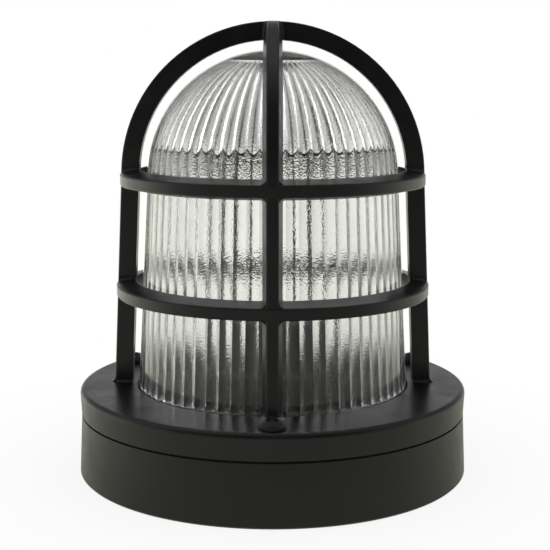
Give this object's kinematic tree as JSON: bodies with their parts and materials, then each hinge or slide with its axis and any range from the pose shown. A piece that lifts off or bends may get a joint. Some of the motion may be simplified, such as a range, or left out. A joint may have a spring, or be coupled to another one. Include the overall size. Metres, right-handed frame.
{
  "type": "bulkhead light",
  "caption": "Round bulkhead light with a domed fluted glass globe behind a cast guard of ribs, rings and crossing arches, screwed to a drafted base with a lampholder inside.",
  "frame": {"origin": "centre of the flat back of the base, on the wall face", "axes": "+Z out of the wall along the axis of the globe, -Y to the front rib with a guard screw, +X to the right rib"},
  "size_m": [0.1708, 0.1708, 0.1951],
  "materials": {
    "black_paint": "satin black paint on cast metal",
    "globe_glass": "clear pressed glass",
    "rubber": "black moulded rubber",
    "zinc_steel": "bright zinc plated steel",
    "brass": "plain brass",
    "phenolic": "black moulded phenolic",
    "insert_ceramic": "unglazed cream ceramic",
    "block_plastic": "natural polyamide",
    "live_insulation": "brown lead insulation",
    "neutral_insulation": "blue lead insulation"
  },
  "bodies": {
    "root": {"base_housing": "black_paint", "cage_guard": "black_paint", "cage_screws": "black_paint", "glass_globe": "globe_glass", "base_seal": "rubber", "cable_grommet": "rubber", "globe_gasket_upper": "rubber", "globe_gasket_lower": "rubber", "screw_seals": "rubber", "lampholder_bracket": "zinc_steel", "bracket_screws": "zinc_steel", "nipple": "zinc_steel", "nipple_nut": "zinc_steel", "lock_washer": "zinc_steel", "terminal_screws": "zinc_steel", "terminal_fixing_screw": "zinc_steel", "glass_retainer": "zinc_steel", "retainer_screws": "zinc_steel", "screw_shell": "brass", "centre_contact": "brass", "insert_screws": "brass", "terminal_clamps": "brass", "earth_screw": "brass", "earth_washer": "brass", "lampholder_cap": "phenolic", "lampholder_skirt": "phenolic", "lampholder_insert": "insert_ceramic", "terminal_block": "block_plastic", "live_lead": "live_insulation", "neutral_lead": "neutral_insulation"}
  },
  "joints": []
}
